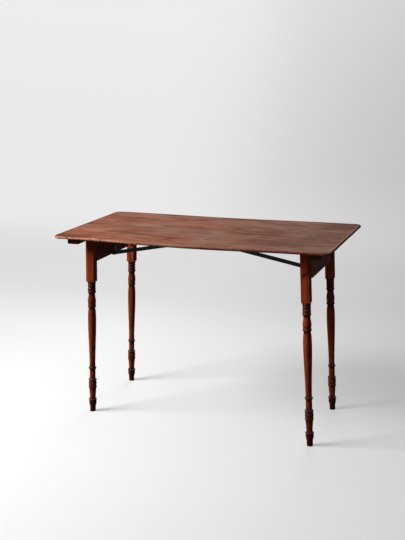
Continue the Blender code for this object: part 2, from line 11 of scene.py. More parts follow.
import bmesh
import bpy
import numpy as np
from bpy.props import FloatProperty, FloatVectorProperty, PointerProperty
from mathutils import Matrix, Vector


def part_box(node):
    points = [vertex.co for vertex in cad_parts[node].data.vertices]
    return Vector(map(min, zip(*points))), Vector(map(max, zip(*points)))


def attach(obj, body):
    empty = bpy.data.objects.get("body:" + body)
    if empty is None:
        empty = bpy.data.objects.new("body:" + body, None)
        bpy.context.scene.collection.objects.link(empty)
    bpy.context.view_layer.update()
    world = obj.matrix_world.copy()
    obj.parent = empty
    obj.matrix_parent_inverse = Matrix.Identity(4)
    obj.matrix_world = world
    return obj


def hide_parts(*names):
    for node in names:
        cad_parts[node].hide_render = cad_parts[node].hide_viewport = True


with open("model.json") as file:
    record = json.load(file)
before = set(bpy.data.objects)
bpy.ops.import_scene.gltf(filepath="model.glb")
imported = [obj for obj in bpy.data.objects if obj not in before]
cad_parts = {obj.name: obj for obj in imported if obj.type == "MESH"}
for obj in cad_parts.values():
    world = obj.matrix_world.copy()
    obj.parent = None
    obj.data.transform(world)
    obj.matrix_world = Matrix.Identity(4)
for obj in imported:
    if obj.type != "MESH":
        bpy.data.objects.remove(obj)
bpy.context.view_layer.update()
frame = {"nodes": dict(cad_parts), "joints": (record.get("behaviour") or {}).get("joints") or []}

bl_info = {
    "name": "Folding Sewing Table",
    "version": (1, 0, 0),
    "blender": (4, 5, 0),
    "location": "3D View > Sidebar > Sewing Table",
    "description": "Dresses a folding sewing table with turned legs, a worn top and iron braces",
    "category": "Add Mesh",
}

MERGE_DISTANCE = 1e-6
SHARP_ANGLE = math.radians(38)
PHOTO_HEIGHT = 540

JOINT_AT = {joint["name"]: Vector(joint["pos_m"]) for joint in frame["joints"]}
HINGE = JOINT_AT["left_fold"]
PIVOT = JOINT_AT["left_brace_swing"]
TOP_LOW, TOP_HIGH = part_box("table_top")
BATTEN_LOW, BATTEN_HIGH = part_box("left_batten")
BAR_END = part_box("left_brace_bar")[1].x
SIDES = (("left", 1), ("right", -1))

SEAT_DEPTH = 1e-4  # how near its outer face the points of a screw's seat lie
SQUARENESS = 28  # the power of a leg's rounded square
FINE_ARRIS = 0.0006
EAR_THICKNESS = 0.0026
RIVET_RISE = 0.0015
LEAF_FROM_MIDDLE = 0.090
LEAF_SCREW_STEPS = (-0.016, 0, 0.016)
LEAF_SCREW_OUT = 0.0125
LEAF_FACE = 0.0011
NEXT_STOCK = np.array((0.31, 0.17, 0.47))  # how far on in the stock the next leg's grain starts


# -------------------- sizes and colours

def length(name, description, default):
    """A length that a user can change."""
    return FloatProperty(name=name, description=description, default=default, min=0.0,
                         unit="LENGTH", precision=4)


def angle(name, description, degrees):
    """An angle that a user can change."""
    return FloatProperty(name=name, description=description, default=math.radians(degrees),
                         subtype="ANGLE")


def colour(name, description, default):
    """A colour that a user can change."""
    return FloatVectorProperty(name=name, description=description, default=default, min=0.0,
                               max=1.0, subtype="COLOR")


class SewingTableSizes(bpy.types.PropertyGroup):
    """Sizes of the table's pieces."""

    top_corner: length("Top corner", "Radius of the top's corners in plan", 0.022)
    top_edge: length("Top edge", "Radius of the top's worn arrises", 0.0036)
    front_sag: length("Front sag", "Drop of the top's front edge half way along", 0.0046)
    back_sag: length("Back sag", "Drop of the top's back edge half way along", 0.0022)
    batten_edge: length("Batten edge", "Radius of the battens' lower arrises", 0.003)
    splay: angle("Splay", "Angle at which the open legs lean out", 2.1)
    leg_square: length("Leg square", "Width of the legs' square upper part", 0.028)
    leg_spacing: length("Leg spacing", "Distance between the two legs of a frame", 0.3174)
    leg_setback: length("Leg setback", "Distance of a leg's axis out from the hinge line", 0.012)
    leg_top: length("Leg top", "Height of a leg's top over the hinge line", 0.00175)
    leg_length: length("Leg length", "Length of a leg along its axis", 0.62597)
    square_length: length("Square length", "Length of the legs' square upper part", 0.1589)
    full_radius: length("Full radius", "Radius of a leg's swell and rings", 0.0138)
    waist_radius: length("Waist radius", "Radius of a leg's slimmest part", 0.0098)
    groove_radius: length("Groove radius", "Radius of the grooves between the rings", 0.0112)
    pinch_radius: length("Pinch radius", "Radius above the long swell and the vase", 0.0110)
    apron_edge: length("Apron edge", "Radius of an apron's arrises", 0.0008)
    bar_width: length("Bar width", "Width of a brace's bar", 0.013)
    bar_thickness: length("Bar thickness", "Thickness of a brace's bar", 0.003)
    bar_rise: angle("Bar rise", "Angle at which a brace rises to its catch", 10.8)
    rivet_head: length("Rivet head", "Radius of a rivet's head", 0.004)
    large_head: length("Batten screw head", "Radius of a batten screw's head", 0.0039)
    small_head: length("Small screw head", "Radius of the other screws' heads", 0.0029)


class SewingTableColours(bpy.types.PropertyGroup):
    """Colours of the table's finishes and of the stage."""

    top_mid: colour("Top", "Faded stain of the top", (0.285, 0.109, 0.066))
    # Bleached streaks and wipe marks, and the painted highlight on the right end's upper arris.
    top_bleach_and_highlight: colour("Top, pale streaks", "Bleached streaks and wipe marks", (0.40, 0.195, 0.13))
    top_dark: colour("Top, dark streaks", "Streaks where the stain is left", (0.13, 0.04, 0.024))
    # Greyed patches of the top, and the painted sheen towards its right end.
    top_grey_and_sheen: colour("Top, grey haze", "Greyed patches of the top", (0.245, 0.14, 0.104))
    top_red: colour("Top, red patches", "Patches of redder stain", (0.272, 0.082, 0.046))
    # Dirt at the left end and front left corner, and painted shade along the back edge, at the back
    # right corner and towards the right end.
    top_grime_and_shade: colour("Top, dark rim", "Grime along the top's rim and corners", (0.075, 0.029, 0.019))
    worn_edge: colour("Worn edge", "Bare wood on the top's rubbed edges", (0.56, 0.262, 0.15))
    red_edge: colour("Red edge", "Rubbed stain on the top's edge", (0.19, 0.045, 0.0225))
    stained_edge: colour("Stained edge", "Top edge where its stain is left", (0.078, 0.019, 0.0105))
    underside: colour("Underside", "Bare wood under the top", (0.16, 0.085, 0.05))
    red_stain: colour("Red stain", "Stain of the legs", (0.322, 0.053, 0.0178))
    red_deep: colour("Red stain, deep", "Stain by the rings and on the feet", (0.07, 0.0125, 0.006))
    # Dark grain and deep stain of the legs, and painted shade in their grooves.
    red_dark_and_groove_shade: colour("Red stain, dark", "Dark grain and grooves of the legs", (0.028, 0.005, 0.003))
    red_rubbed: colour("Red stain, rubbed", "Rubbed crests and arrises", (0.29, 0.07, 0.028))
    # The stain of the aprons and battens under the top, with painted shade in it.
    stain_with_painted_shade: colour("Dark stain", "Stain of the aprons and battens", (0.165, 0.035, 0.0145))
    dark_grain: colour("Dark grain", "Dark grain of the aprons and battens", (0.04, 0.01, 0.005))
    iron: colour("Iron", "Blackened iron of the braces", (0.0068, 0.0064, 0.0062))
    rust: colour("Rust", "Thin rust on the ironwork", (0.07, 0.028, 0.013))
    steel: colour("Steel", "Darkened steel of screws, pins and rivets", (0.04, 0.036, 0.032))
    floor: colour("Floor", "Pale floor on the bright side", (0.848, 0.845, 0.847))
    floor_dim: colour("Floor, dim side", "Pale floor away from the light", (0.57, 0.567, 0.57))


# -------------------- skins over grids of points

def skin(name, points, closed=True, **values):
    """Makes a skin over a grid, or over several at once.

    Each point makes a quad with the next row and the next column, and where the skin is closed the
    last column joins the first. Points that meet at a pole or on a spine are merged and the faces
    turned outwards. Each of the values is kept on the points as an attribute.
    """
    rows, columns = points.shape[-3:-1]
    here = np.arange(points.size // 3).reshape(-1, rows, columns)
    beside = np.roll(here, -1, axis=2)
    quads = np.stack((here[:, :-1], beside[:, :-1], beside[:, 1:], here[:, 1:]), axis=-1)
    if not closed:
        quads = quads[:, :, :-1]
    mesh = bpy.data.meshes.new(name)
    mesh.from_pydata(points.reshape(-1, 3), [], quads.reshape(-1, 4))
    for label, value in values.items():
        vector = np.ndim(value) == points.ndim
        full = np.broadcast_to(value, points.shape if vector else points.shape[:-1])
        layer = mesh.attributes.new(label, "FLOAT_VECTOR" if vector else "FLOAT", "POINT")
        layer.data.foreach_set("vector" if vector else "value", full.astype(np.float32).ravel())
    work = bmesh.new()
    work.from_mesh(mesh)
    bmesh.ops.remove_doubles(work, verts=work.verts, dist=MERGE_DISTANCE)
    bmesh.ops.recalc_face_normals(work, faces=work.faces)
    work.to_mesh(mesh)
    work.free()
    mesh.shade_smooth()
    mesh.set_sharp_from_angle(angle=SHARP_ANGLE)
    return mesh


def piece(mesh, material, body, slot, *nodes):
    """Puts a mesh in the scene as a piece that rides on a body and stands for the named solids."""
    made = bpy.data.objects.new(mesh.name, mesh)
    bpy.context.scene.collection.objects.link(made)
    mesh.materials.append(material)
    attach(made, body)
    if nodes:
        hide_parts(*nodes)


def dress(node, material, arris=0.0):
    """Gives a solid that stays in view its finish, and rounds its arrises where a radius is given.

    For that, it is welded and its sharp edges are bevelled.
    """
    made = frame["nodes"][node]
    made.data.materials.clear()
    made.data.materials.append(material)
    if arris:
        weld = made.modifiers.new("weld", "WELD")
        weld.merge_threshold = MERGE_DISTANCE * 10
        bevel = made.modifiers.new("soft_arris", "BEVEL")
        bevel.width, bevel.segments = arris, 2
        bevel.limit_method, bevel.angle_limit = "ANGLE", SHARP_ANGLE


def hung(points, splay, way):
    """Hangs points of an upright frame at its hinge line.

    x = hinge + u cos a + z sin a and z = hinge + z cos a - u sin a, and the right frame is the left
    one turned half round.
    """
    u, y, z = np.moveaxis(points, -1, 0)
    x = HINGE.x + u * math.cos(splay) + z * math.sin(splay)
    z = HINGE.z + z * math.cos(splay) - u * math.sin(splay)
    return np.stack((way * x, way * (y + HINGE.y), z), axis=-1)


def turned_round(points, way):
    """Turns the left half's points half round for the right half."""
    return points * np.array((way, way, 1))


def ripple(t, seed):
    """A smooth irregular wave from about -1 to 1: three sines of unlike pitch, moved by a seed."""
    return (np.sin(t + seed) + np.sin(2.3 * t + 2.1 * seed) + np.sin(5.7 * t + 3.7 * seed)) / 2.4


def rounded_rectangle(half_x, half_y, radius, arc, straight):
    """The outline of a rectangle with round corners, and its normals.

    Each corner is a quarter circle about its own centre, followed by evenly spaced points along the
    straight side to the next corner.
    """
    points, normals = [], []
    turns = np.linspace(0, np.pi / 2, arc)
    share = np.linspace(0, 1, straight + 2)[1:-1, None]
    corner = np.array((half_x - radius, half_y - radius))
    for quarter in range(4):
        turned = turns + quarter * np.pi / 2
        way = np.stack((np.cos(turned), np.sin(turned)), axis=-1)
        signs = np.sign(way[arc // 2])
        following = np.array((-signs[1], signs[0]))
        centre, after = signs * corner, following * corner
        begin, end = centre + radius * way[-1], after + radius * way[-1]
        points += [centre + radius * way, begin + (end - begin) * share]
        normals += [way, np.broadcast_to(way[-1], (straight, 2))]
    return np.concatenate(points), np.concatenate(normals)


def slab(outline, normals, low, high, lower_edge, upper_edge, face_rows, arc_rows=7):
    """A flat piece from an outline, as rows of points, with the share of wear on each row.

    The rows run from the spine of the upper face to its rim, round a quarter circle, down the side,
    round the lower quarter circle and back to the spine below. A row is the outline drawn in along
    its normals by edge * (1 - sin a), and a face's rows shrink to the spine y = 0.
    """
    turn = np.linspace(0, np.pi / 2, arc_rows)
    spread = np.linspace(0, 1, face_rows) ** 0.5
    upper, lower = 1 - np.sin(turn), 1 - np.cos(turn)
    side = np.linspace(high - upper_edge, low + lower_edge, 5)[1:-1]
    flat = np.ones(face_rows - 1)
    inset = np.concatenate((flat * upper_edge, upper * upper_edge, side * 0,
                            lower * lower_edge, flat * lower_edge))
    height = np.concatenate((flat * high, high - upper_edge * (1 - np.cos(turn)), side,
                             low + lower_edge * (1 - np.sin(turn)), flat * low))
    ones = np.ones(2 * arc_rows + len(side))
    shrink = np.concatenate((spread[:-1], ones, spread[-2::-1]))
    rim = np.concatenate((flat * 0, np.sin(2 * turn), side * 0, np.sin(2 * turn), flat * 0))
    drawn = outline[None] - normals[None] * inset[:, None, None]
    drawn[..., 1] *= shrink[:, None]
    z = np.broadcast_to(height[:, None, None], drawn.shape[:2] + (1,))
    return np.concatenate((drawn, z), axis=-1), rim[:, None]


def sagged(points, front, back):
    """Lowers a board between its hinge lines, most at its front and back edges.

    The drop is sag * (1 - (x / hinge)^2)^2 * s^2 (3 - 2 s), where s runs from 0 at a line to 1 at
    the edge. Below, that line lies past the folded legs.
    """
    x, y, z = np.moveaxis(points, -1, 0)
    edge = np.abs(y).max()
    line_above, line_below = 0.1, 0.194
    line = np.where(z > (TOP_LOW.z + TOP_HIGH.z) / 2, line_above, line_below)
    share = np.clip((np.abs(y) - line) / (edge - line), 0, 1)
    across = np.clip(1 - (x / HINGE.x) ** 2, 0, 1) ** 2
    drop = np.where(y < 0, front, back) * across * share ** 2 * (3 - 2 * share)
    return np.stack((x, y, z - drop), axis=-1)


RUNS = {
    "straight": lambda t: t,
    "ease": lambda t: (1 - np.cos(np.pi * t)) / 2,
    "rise": lambda t: np.sqrt(1 - (1 - t) ** 2),
    "fall": lambda t: 1 - np.sqrt(1 - t * t),
}


def turned_outline(features, floor, radius):
    """Heights and radii up a turning that starts at the floor.

    A feature is its run, its rows of points, its height, the radius it ends at and, for a bead, its
    peak. Along it the radius blends from its last value to the feature's own. A bead stands out
    from that blend by (peak - base) * sin a, with its height following (1 - cos a) / 2.
    """
    heights, radii = [np.array([floor, floor])], [np.array([0.0, radius])]
    for run, rows, height, radius, *peak in features:
        low, last = heights[-1][-1], radii[-1][-1]
        t = np.linspace(0, 1, rows + 1)[1:]
        if run == "bead":
            turn = np.pi * t
            t = (1 - np.cos(turn)) / 2
            base = last + (radius - last) * t
            made = base + (peak[0] - base) * np.sin(turn)
        else:
            made = last + (radius - last) * RUNS[run](t)
        heights.append(low + height * t)
        radii.append(made)
    return np.concatenate(heights), np.concatenate(radii)


def leg_outline(sizes):
    """A leg's heights and radii from the floor up, wider than the stock where that stays square.

    Toe, flared foot and ankle ring, slim neck, knob of two rings and a bulb, short column and its
    ring, long swelling taper, vase on its ring, three throat rings and a collar under the square.
    """
    full, waist = sizes.full_radius, sizes.waist_radius
    groove, pinch = sizes.groove_radius, sizes.pinch_radius
    toe, ankle, neck, column, ring, throat = 0.0012, 0.01265, 0.0117, 0.0104, 0.0129, 0.0133
    below = (
        ("rise", 5, toe, waist),
        ("straight", 4, 0.0146, waist),
        ("ease", 12, 0.0158, ankle),
        ("straight", 4, 0.009, ankle),
        ("bead", 14, 0.0065, waist, full),
        ("ease", 14, 0.0376, neck),
        ("bead", 16, 0.0108, groove, full),
        ("bead", 18, 0.0158, groove, full),
        ("bead", 16, 0.0092, column, full),
        ("straight", 8, 0.0336, waist),
        ("bead", 14, 0.009, waist, ring),
    )
    above = (
        ("fall", 20, 0.0396, pinch),
        ("straight", 3, 0.003, pinch),
        ("bead", 16, 0.0122, groove, full),
        ("rise", 10, 0.0098, full),
        ("ease", 16, 0.0257, pinch),
        ("straight", 3, 0.003, pinch),
        ("bead", 16, 0.0107, groove, full),
        ("bead", 16, 0.0107, groove, throat),
        ("bead", 16, 0.0107, groove, throat),
        ("bead", 14, 0.0088, throat, full),
        ("straight", 4, 0.0016, sizes.leg_square),
    )
    turned = sizes.leg_length - sizes.square_length
    taper = turned - sum(feature[2] for feature in below + above)
    floor = sizes.leg_top - sizes.leg_length
    swell = (("ease", 40, taper, full),)
    heights, radii = turned_outline(below + swell + above, floor, waist - toe)
    square = np.linspace(sizes.leg_top - sizes.square_length, sizes.leg_top, 30)[1:]
    heights = np.concatenate((heights, square, square[-1:]))
    return heights, np.concatenate((radii, square * 0 + sizes.leg_square, [0.0]))


def leg_points(sizes):
    """A leg about its own axis: radius = the lesser of the turning's and the square stock's.

    The stock's is half / (|cos a|^n + |sin a|^n)^(1/n), a square with eased arrises. The columns
    crowd together at the arrises. With the points come values to keep on them: how hollow the
    turning is, the mean radius a little above and below less the radius there; how deep its stain
    is, the running mean of that hollow's size, and most on the foot; how far it faces up, the
    radius lost on the way up; and how near an arris it is.
    """
    heights, radii = leg_outline(sizes)
    from_arris = np.array((0, 0.5, 1, 1.6, 2.4, 3.5, 5, 7, 9.5, 12.5, 16, 20, 25, 30, 35, 40, 45))
    quarter = np.concatenate((-from_arris[:0:-1], from_arris[:-1]))
    turn = np.radians(np.concatenate([45 + 90 * k + quarter for k in range(4)]))
    cosine, sine = np.cos(turn), np.sin(turn)
    half = sizes.leg_square / 2
    stock = half / (np.abs(cosine) ** SQUARENESS + np.abs(sine) ** SQUARENESS) ** (1 / SQUARENESS)
    radius = np.minimum(radii[:, None], stock[None])
    tall = np.broadcast_to(heights[:, None], radius.shape)
    capped = np.minimum(radii, half)
    reach, full_hollow = 0.0024, 0.0012
    mean = sum(np.interp(heights + step, heights, capped) for step in (reach, -reach)) / 2
    hollow = np.clip((mean - capped) / full_hollow, -1, 1)
    hollow[[0, 1, -1]] = 0
    steps, window = 2000, 36
    even = np.linspace(heights[0], heights[-1], steps)
    busy = np.convolve(np.interp(even, heights, np.abs(hollow)), np.ones(window) / window, "same")
    foot_height, foot_fade = 0.062, 0.03
    foot = np.clip((heights[0] + foot_height - heights) / foot_fade, 0, 1)
    turned = radii < sizes.leg_square
    deep = np.clip(1.6 * np.interp(heights, even, busy) + foot + 0.24 * turned, 0, 1)
    lost = -np.gradient(np.interp(even, heights, capped), even)
    shoulder = np.interp(heights, even, np.clip(lost, 0, 1))
    kept = {"hollow": hollow[:, None], "deep": deep[:, None], "shoulder": shoulder[:, None],
            "arris": np.clip((radius / sizes.leg_square - 0.6) / 0.09, 0, 1)}
    return np.stack((radius * cosine, radius * sine, tall), axis=-1), kept


def knot_share(points, face):
    """How much of a dark slanting patch shows at each point of a leg, most on the face at that y.

    It is exp(-|p|^2), where p is the place from the patch's middle, leaned over and divided by the
    patch's reach on each axis.
    """
    lean, strength, reach = 0.8, 0.8, (0.02, 0.004, 0.009)
    x, y, z = np.moveaxis(points - np.array((0.002, face, -0.071)), -1, 0)
    leaned = np.stack((x - lean * z, y, z + lean * x), axis=-1)
    return strength * np.exp(-np.sum((leaned / reach) ** 2, axis=-1))


def bar_outline(size, width, eye, taper, corner):
    """A brace bar's outline and normals: a round eye, a taper to full width, an eased square tip.

    Above, the half width is sqrt(eye^2 - x^2) round the eye, eases from there to width / 2 along
    the taper, and follows a quarter circle at the tip. Below, it follows a quarter ellipse round
    the eye and is width / 2 from there on.
    """
    turn = np.linspace(np.pi, np.pi / 2, 9)
    round_x, round_y = eye * np.cos(turn), eye * np.sin(turn)
    taper_x = np.linspace(0, taper, 12)[1:]
    taper_y = eye + (width / 2 - eye) * RUNS["ease"](taper_x / taper)
    run_x = np.linspace(taper, size - corner, 60)[1:]
    tip = np.linspace(np.pi / 2, 0, 7)[1:]
    tip_x, tip_y = size - corner + corner * np.cos(tip), width / 2 - corner + corner * np.sin(tip)
    x = np.concatenate((round_x, taper_x, run_x, tip_x))
    y = np.concatenate((round_y, taper_y, run_x * 0 + width / 2, tip_y))
    level = np.full(len(taper_x) + len(run_x), width / 2)
    below = np.concatenate((width / 2 * np.sin(turn), level, tip_y))
    y[0] = below[0] = 0
    upper, lower = np.stack((x, y), axis=-1), np.stack((x, -below), axis=-1)
    outline = np.concatenate((upper, lower[:0:-1]))[::-1]
    tangent = np.roll(outline, -1, axis=0) - np.roll(outline, 1, axis=0)
    normal = np.stack((tangent[:, 1], -tangent[:, 0]), axis=-1)
    return outline, normal / np.linalg.norm(normal, axis=1, keepdims=True)


def slotted_head(radius, dome, depth, slot):
    """A slotted screw head, facing +Z, with its seat on z = 0 and the share of slot at each point.

    It is cut into slices y = constant. A slice runs across the top at
    z = dome * (1 - (x^2 + y^2) / r^2), lowered within the slot, and back across the base at -depth.
    The slot is given by its width and depth.
    """
    half, slot_depth = slot[0] / 2, slot[1]
    lip = half + radius * 0.02
    outer = np.concatenate((lip + (radius - lip) * np.linspace(0, 0.85, 6),
                            radius * np.array((0.94, 0.985, 0.999))))
    y = np.concatenate((-outer[::-1], (-half, -half / 2, 0, half / 2, half), outer))
    across = np.sin(np.linspace(-np.pi / 2, np.pi / 2, 17))
    reach = np.sqrt(np.maximum(radius ** 2 - y ** 2, 0))
    x = reach[:, None] * across
    lowered = (np.abs(y) <= half)[:, None] * np.ones(len(across))
    crown = dome * (1 - (x ** 2 + y[:, None] ** 2) / radius ** 2) - lowered * slot_depth
    top = np.stack(np.broadcast_arrays(x, y[:, None], crown), axis=-1)
    base = np.stack(np.broadcast_arrays(x[:, ::-1], y[:, None], -depth), axis=-1)
    loop = np.concatenate((top, base), axis=1)
    ends = np.broadcast_to(loop.mean(axis=1, keepdims=True), loop.shape)
    points = np.concatenate((ends[:1], loop, ends[-1:]))
    share = np.concatenate((lowered, 0 * lowered), axis=1)
    return points, np.pad(share, ((1, 1), (0, 0)))


def domed_head(radius, height):
    """A rivet's head, facing +Z from its seat on z = 0: part of a sphere over a short straight rim.

    Along the outline r = R sin a and z = rim + (height - rim) cos a, from the crown to the rim.
    """
    rim = height * 0.2
    turn = np.linspace(0, np.pi / 2, 12)
    out = np.concatenate((radius * np.sin(turn), [radius, 0]))
    up = np.concatenate((rim + (height - rim) * np.cos(turn), [0, 0]))
    around = np.linspace(0, 2 * np.pi, 36, endpoint=False)
    out, up = out[:, None], up[:, None]
    return np.stack(np.broadcast_arrays(out * np.cos(around), out * np.sin(around), up), axis=-1)


def facing(points, outward, slot_turn=0.0):
    """Turns a head that faces +Z to face outward, after a turn about its own axis."""
    aim = Vector(outward).to_track_quat("Z", "Y").to_matrix() @ Matrix.Rotation(slot_turn, 3, "Z")
    return points @ np.array(aim).T


# -------------------- finishes

class Value:
    """A socket of a finish that takes part in sums: each operator adds a Math node."""

    def __init__(self, finish, socket):
        self.finish, self.socket = finish, socket

    def _math(self, operation, first, second):
        return self.finish.node("Math", {"operation": operation}, {0: first, 1: second})

    def __add__(self, other):
        return self._math("ADD", self, other)

    def __sub__(self, other):
        return self._math("SUBTRACT", self, other)

    def __rsub__(self, other):
        return self._math("SUBTRACT", other, self)

    def __mul__(self, other):
        return self._math("MULTIPLY", self, other)

    __radd__ = __add__
    __rmul__ = __mul__


class Finish:
    """A material, or the surround, whose pattern is written as sums of its sockets."""

    def __init__(self, name, store=bpy.data.materials, shader="Principled BSDF"):
        self.material = store.new(name)
        self.material.use_nodes = True
        self.tree = self.material.node_tree
        self.shader = self.tree.nodes[shader]

    def node(self, kind, settings=None, sockets=None, output=0):
        """Adds a node of a kind, sets its settings and then its sockets, and returns one output."""
        made = self.tree.nodes.new(f"ShaderNode{kind}")
        for key, value in (settings or {}).items():
            setattr(made, key, value)
        for key, value in (sockets or {}).items():
            self.feed(made.inputs[key], value)
        return Value(self, made.outputs[output])

    def feed(self, socket, value):
        """Links a value to a socket, or sets the socket to a number or colour."""
        if isinstance(value, Value):
            self.tree.links.new(value.socket, socket)
        elif socket.type == "RGBA":
            socket.default_value = (*value[:3], 1.0)
        else:
            socket.default_value = value

    def shade(self, **sockets):
        """Feeds the shader: base_color=... feeds its Base Color."""
        for key, value in sockets.items():
            self.feed(self.shader.inputs[key.replace("_", " ").title()], value)
        return self.material

    def dull(self, level):
        """Sets how much the finish mirrors, alike all over."""
        self.shader.inputs["Specular IOR Level"].default_value = level

    def seen(self):
        """1 where the camera, a mirror or glass looks, and 0 where light only bounces."""
        camera, mirror, glass = (self.node("LightPath", output=f"Is {kind} Ray")
                                 for kind in ("Camera", "Glossy", "Transmission"))
        return camera + mirror + glass

    def where(self):
        """The place on the piece, in the table's own frame."""
        return self.node("TexCoord", output="Object")

    def away(self, where, place):
        """The distance from a place."""
        return self.node("VectorMath", {"operation": "DISTANCE"}, {0: where, 1: place}, "Value")

    def axis(self, vector, name):
        """One axis of a vector."""
        return self.node("SeparateXYZ", sockets={0: vector}, output=name)

    def kept(self, name, output="Fac"):
        """A value kept on the piece's points."""
        return self.node("Attribute", {"attribute_name": name}, output=output)

    def noise(self, where, scale, detail=3.0, roughness=0.55):
        """Noise stretched by a scale on each axis."""
        placed = self.node("Mapping", sockets={"Vector": where, "Scale": scale})
        return self.node("TexNoise", sockets={"Vector": placed, "Scale": 1.0, "Detail": detail,
                                              "Roughness": roughness})

    def band(self, value, low, high):
        """Runs smoothly from 0 at low to 1 at high."""
        return self.node("MapRange", {"interpolation_type": "SMOOTHSTEP"},
                         {"Value": value, "From Min": low, "From Max": high})

    def swayed(self, where, scale, reach):
        """The place drawn aside by a slow noise, by up to half a reach on each axis."""
        sway = self.noise(where, scale, 2) - 0.5
        aside = self.node("VectorMath", {"operation": "SCALE"}, {0: reach, "Scale": sway})
        return self.node("VectorMath", {"operation": "ADD"}, {0: where, 1: aside})

    def mix(self, share, first, second):
        """Mixes two colours."""
        return self.node("Mix", {"data_type": "RGBA"}, {0: share, 6: first, 7: second}, 2)

    def patch(self, body, tint, value, low, high, share):
        """Lays a tint over a body, from none where a value is low to a share where it is high."""
        return self.mix(self.band(value, low, high) * share, body, tint)

    def bump(self, height, distance):
        """A normal from a height."""
        return self.node("Bump", sockets={"Height": height, "Distance": distance})


def finish(make, colours):
    """Returns a finish's material, made on first use."""
    return bpy.data.materials.get(make.__name__) or make(Finish(make.__name__), colours)


def faded_top(wood, colours):
    """Faded stain: streaks and pores along the top, red, greyed, pale and dark patches, a painted
    sheen towards the right end, curved wipe marks, scratches, dirt at the left end and front left
    corner, painted shade along the back edge, at the back right corner and towards the right end,
    a painted highlight on the right end's upper arris, worn edges and a bare underside."""
    wood.dull(0.01)
    where = wood.where()
    along, back = (wood.axis(where, name) for name in "XY")
    grain = wood.swayed(where, (1.6, 4, 1), (0, 0.03, 0))
    boards = wood.noise(grain, (0.8, 15, 15))
    streaks = wood.noise(grain, (2.6, 85, 85), 5)
    pores = wood.noise(grain, (16, 760, 760), 3, 0.65)
    haze = wood.noise(where, (4.2, 7.5, 7.5), 5)
    ruddy = wood.noise(where, (4.4, 8.5, 8.5), 5)
    pale = wood.noise(grain, (3.6, 17, 17), 5, 0.6)
    stains = wood.noise(grain, (5, 17, 17), 4, 0.5)
    mottle = wood.noise(grain, (17, 80, 80), 4, 0.6)
    uneven = wood.band(wood.noise(where, (4, 9, 9)), 0.36, 0.62)
    grained = boards * 0.45 + streaks * 0.55

    face = wood.mix(wood.band(grained, 0.38, 0.56), colours.top_dark, colours.top_mid)
    face = wood.patch(face, colours.top_red, ruddy, 0.46, 0.64, 0.42)
    # Greyed patches of the finish, plus a painted sheen that grows towards the right end.
    grey_haze_and_sheen = haze + 0.12 * wood.band(along, 0.16, 0.42)
    face = wood.patch(face, colours.top_grey_and_sheen, grey_haze_and_sheen, 0.44, 0.62, 0.8)
    face = wood.patch(face, colours.top_bleach_and_highlight, pale, 0.5, 0.68, 0.7)
    face = wood.patch(face, colours.top_dark, stains, 0.48, 0.64, 0.65)
    # Painted shade that deepens towards the right end of the top, where the light falls off; less
    # where the haze noise is high.
    painted_falloff_share = 0.18 + 0.44 * wood.band(haze, 0.58, 0.42)
    face = wood.patch(face, colours.top_grime_and_shade, along, -0.06, 0.26, painted_falloff_share)
    face = wood.patch(face, colours.top_dark, mottle, 0.5, 0.66, 0.25 + 0.45 * uneven)
    face = wood.patch(face, colours.top_bleach_and_highlight, mottle, 0.48, 0.34, 0.56 - 0.35 * uneven)

    arc = wood.away(where, (0.2, -0.46, TOP_HIGH.z))
    sweeps = wood.node("CombineXYZ", sockets={0: arc, 1: 0.04 * along, 2: 0.0})
    rubbed_at = wood.band(wood.away(where, (0.25, -0.13, TOP_HIGH.z)), 0.2, 0.06)
    wiped = wood.noise(sweeps, (46, 46, 46))
    face = wood.patch(face, colours.top_bleach_and_highlight, wiped, 0.52, 0.66, rubbed_at * 0.65)
    crossing = wood.noise(where, (5, 24, 24), 1, 0.3) - 0.5
    broken = wood.band(stains, 0.5, 0.42) * uneven
    face = wood.patch(face, colours.top_bleach_and_highlight, crossing * crossing, 0.00012, 0.00002, broken * 0.3)
    face = wood.patch(face, colours.top_dark, pores, 0.56, 0.72, 0.4)
    # Dirt at the left end and the front left corner, and painted shade along the back edge and at
    # the back right corner.
    left_end = wood.band(along * -1 + 0.012 * stains, 0.446, 0.46)
    back_edge_shade = wood.band(back + 0.016 * stains, 0.226, 0.242)
    back_right_shade = wood.band(wood.away(where, (0.46, 0.25, TOP_HIGH.z)), 0.2, 0.03)
    left_corner = wood.band(wood.away(where, (-0.46, -0.25, TOP_HIGH.z)), 0.14, 0.02)
    grime_and_shade = left_end + back_edge_shade + 0.7 * back_right_shade + 0.5 * left_corner
    face = wood.patch(face, colours.top_grime_and_shade, grime_and_shade, 0, 1, 0.85)

    lost = wood.band(along + 0.4 * (wood.noise(where, (7, 30, 30), 4) - 0.5), 0.08, -0.26)
    chips = wood.noise(where, (110, 150, 190), 3, 0.6)
    edge = wood.mix(wood.band(chips, 0.4, 0.6), colours.stained_edge, colours.red_edge)
    edge = wood.patch(edge, colours.worn_edge, chips, 0.34, 0.54, lost)
    level, thick = wood.kept("level"), TOP_HIGH.z - TOP_LOW.z
    body = wood.mix(wood.band(level, thick - 0.0008, thick - 0.0022), face, edge)
    rubbed = wood.kept("rim") * (0.1 + 0.8 * lost)
    scuffs = wood.noise(where, (24, 60, 60), 5)
    body = wood.patch(body, colours.worn_edge, scuffs, 0.42, 0.66, rubbed)
    # Painted highlight along the upper arris of the right end, fading out towards the back.
    right_lip_highlight = wood.band(along, 0.4465, 0.4515) * wood.band(back, 0.22, 0.14)
    body = wood.patch(body, colours.top_bleach_and_highlight, level, thick - 0.004, thick - 0.001, right_lip_highlight * 0.5)
    raw = wood.mix(wood.band(grained, 0.36, 0.66), colours.top_dark, colours.underside)
    body = wood.mix(wood.band(level, 0.0025, 0.0005), body, raw)
    rough = 0.6 + 0.3 * haze - 0.1 * streaks
    height = pores * -0.6 + streaks * 0.7 + stains * 0.3
    return wood.shade(base_color=body, roughness=rough, normal=wood.bump(height, 0.00035))


